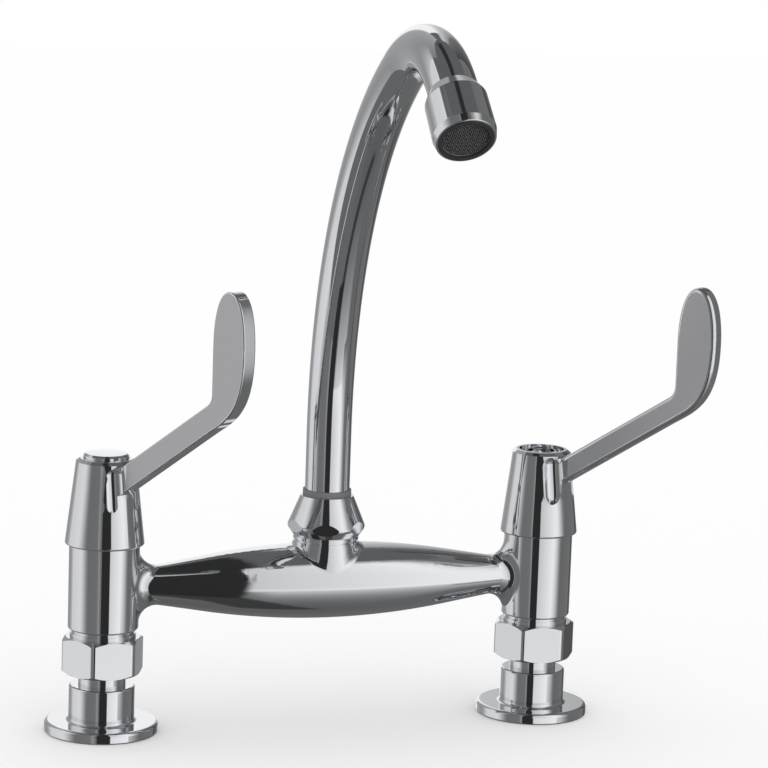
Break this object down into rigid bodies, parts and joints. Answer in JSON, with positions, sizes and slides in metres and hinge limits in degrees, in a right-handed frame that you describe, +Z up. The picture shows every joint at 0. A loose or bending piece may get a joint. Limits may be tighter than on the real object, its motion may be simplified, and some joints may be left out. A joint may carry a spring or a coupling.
{
  "type": "bridge kitchen faucet",
  "caption": "Deck-mounted bridge kitchen faucet: chromed bridge on two round feet, upright quarter-turn levers, tall swivelling swan-neck spout with aerator.",
  "frame": {"origin": "midpoint between the two inlets, on the deck plane under the feet", "axes": "+X along the bridge to the right foot, -Y towards the user, +Z up"},
  "size_m": [0.2482, 0.1952, 0.288],
  "materials": {
    "chrome": "polished",
    "brass": "machined",
    "steel": "satin",
    "screen_steel": "fine woven",
    "ceramic": "lapped",
    "rubber": "matte",
    "fibre": "matte",
    "grey_plastic": "matte",
    "black_plastic": "matte"
  },
  "bodies": {
    "tap_body": {"bridge_body": "chrome", "left_deck_flange": "chrome", "left_flange_seal": "rubber", "left_swivel_tail": "chrome", "left_union_washer": "fibre", "left_union_nut": "chrome", "left_valve_seat_seal": "rubber", "left_fixed_disc": "ceramic", "left_valve_body": "brass", "left_valve_gasket": "rubber", "right_deck_flange": "chrome", "right_flange_seal": "rubber", "right_swivel_tail": "chrome", "right_union_washer": "fibre", "right_union_nut": "chrome", "right_valve_seat_seal": "rubber", "right_fixed_disc": "ceramic", "right_valve_body": "brass", "right_valve_gasket": "rubber", "spout_nut": "chrome", "spout_bush": "grey_plastic"},
    "left_handle": {"left_turning_disc": "ceramic", "left_spindle": "brass", "left_spindle_o_ring": "rubber", "left_spindle_circlip": "steel", "left_lever_handle": "chrome", "left_handle_screw": "steel", "left_index_cap": "chrome"},
    "right_handle": {"right_turning_disc": "ceramic", "right_spindle": "brass", "right_spindle_o_ring": "rubber", "right_spindle_circlip": "steel", "right_lever_handle": "chrome", "right_handle_screw": "steel"},
    "spout": {"spout_tube": "chrome", "spout_ferrule": "brass", "spout_o_rings": "rubber", "spout_split_ring": "brass", "aerator_housing": "chrome", "aerator_washer": "rubber", "aerator_insert": "black_plastic", "aerator_screen": "screen_steel"}
  },
  "joints": [
    {"name": "left_handle_turn", "type": "hinge", "parent": "tap_body", "child": "left_handle", "pos_m": [-0.09, 0, 0.09], "axis": [0, 0, 1], "range_deg": [-90, 0]},
    {"name": "right_handle_turn", "type": "hinge", "parent": "tap_body", "child": "right_handle", "pos_m": [0.09, 0, 0.09], "axis": [0, 0, 1], "range_deg": [0, 90]},
    {"name": "spout_swivel", "type": "hinge", "parent": "tap_body", "child": "spout", "pos_m": [0, 0, 0.08], "axis": [0, 0, 1], "continuous": true}
  ]
}
